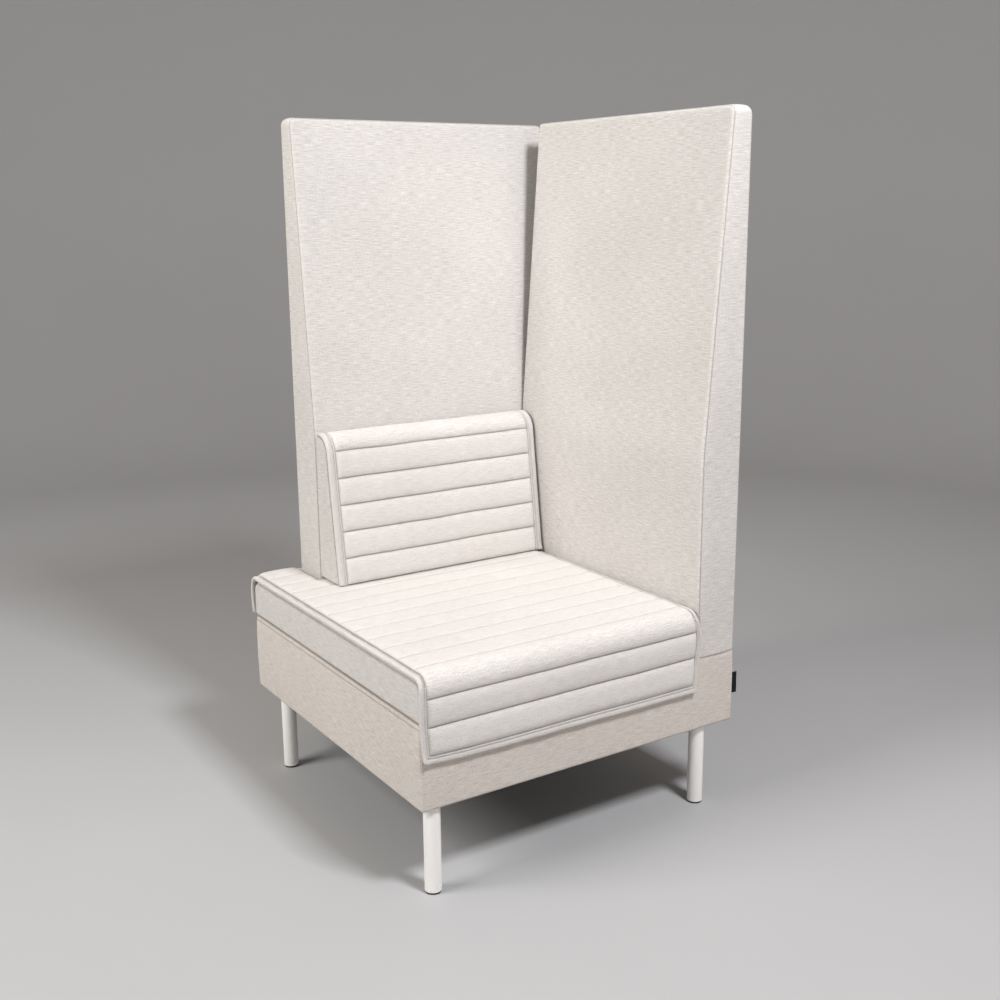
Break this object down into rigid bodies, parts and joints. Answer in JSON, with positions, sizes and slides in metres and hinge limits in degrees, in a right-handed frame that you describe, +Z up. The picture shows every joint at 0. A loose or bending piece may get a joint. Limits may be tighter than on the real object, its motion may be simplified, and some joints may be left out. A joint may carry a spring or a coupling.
{
  "type": "high back lounge chair",
  "caption": "High-back acoustic lounge chair: upholstered base on tubular legs, channel-quilted seat and back covers, and tapered back and side screen panels meeting in one rear corner.",
  "frame": {"origin": "floor level under the centre of the chair's bounding box, seat cover and side tab included", "axes": "+Z up, +Y from the seat's front to the back panel, +X towards the side panel on the sitter's left"},
  "size_m": [0.754, 0.769, 1.4],
  "materials": {
    "smooth_fabric": "fine melange upholstery weave",
    "quilt_fabric": "fine melange upholstery weave, channel quilted",
    "binding_fabric": "folded edge band with twin stitching",
    "foam": "upholstery foam",
    "plywood": "raw birch plywood",
    "timber": "raw timber",
    "white_paint": "white powder coat",
    "steel": "zinc plated",
    "black_plastic": "moulded",
    "dust_cloth": "non-woven",
    "loop_tape": "hook and loop tape",
    "tab_cloth": "blank woven tab"
  },
  "bodies": {
    "base": {"base_cover": "smooth_fabric", "base_deck": "plywood", "dust_cover": "dust_cloth", "base_rail_front": "plywood", "base_rail_rear": "plywood", "base_rail_left": "plywood", "base_rail_right": "plywood", "base_cross_rail": "plywood", "corner_blocks": "timber", "leg_plates": "steel", "leg_plugs": "black_plastic", "side_panel_cover": "smooth_fabric", "side_panel_board": "plywood", "side_panel_outer_foam": "foam", "side_panel_inner_foam": "foam", "back_panel_cover": "smooth_fabric", "back_panel_board": "plywood", "back_panel_outer_foam": "foam", "back_panel_inner_foam": "foam", "side_panel_bolts": "steel", "back_panel_bolts": "steel", "panel_tie_bolts": "steel", "panel_tie_sleeves": "steel", "seat_pad_cover": "smooth_fabric", "seat_foam": "foam", "seat_board": "plywood", "seat_quilt": "quilt_fabric", "seat_binding_left": "binding_fabric", "seat_binding_right": "binding_fabric", "seat_binding_front": "binding_fabric", "seat_binding_rear": "binding_fabric", "seat_binding_notch": "binding_fabric", "seat_loop_strip": "loop_tape", "side_tab": "tab_cloth", "leg_front_left": "white_paint", "leg_front_right": "white_paint", "leg_rear_left": "white_paint", "leg_rear_right": "white_paint"},
    "cushion": {"cushion_cover": "smooth_fabric", "cushion_foam": "foam", "cushion_quilt": "quilt_fabric", "cushion_binding_left": "binding_fabric", "cushion_binding_right": "binding_fabric", "cushion_binding_rear": "binding_fabric"},
    "glide_front_left": {"glide_pad_front_left": "black_plastic", "glide_stud_front_left": "steel"},
    "glide_front_right": {"glide_pad_front_right": "black_plastic", "glide_stud_front_right": "steel"},
    "glide_rear_left": {"glide_pad_rear_left": "black_plastic", "glide_stud_rear_left": "steel"},
    "glide_rear_right": {"glide_pad_rear_right": "black_plastic", "glide_stud_rear_right": "steel"}
  },
  "joints": [
    {"name": "cushion_lift", "type": "slide", "parent": "base", "child": "cushion", "axis": [0, 0, 1], "range_m": [0, 0.3]},
    {"name": "glide_front_left_travel", "type": "slide", "parent": "base", "child": "glide_front_left", "axis": [0, 0, -1], "range_m": [0, 0.012]},
    {"name": "glide_front_right_travel", "type": "slide", "parent": "base", "child": "glide_front_right", "axis": [0, 0, -1], "range_m": [0, 0.012]},
    {"name": "glide_rear_left_travel", "type": "slide", "parent": "base", "child": "glide_rear_left", "axis": [0, 0, -1], "range_m": [0, 0.012]},
    {"name": "glide_rear_right_travel", "type": "slide", "parent": "base", "child": "glide_rear_right", "axis": [0, 0, -1], "range_m": [0, 0.012]}
  ]
}
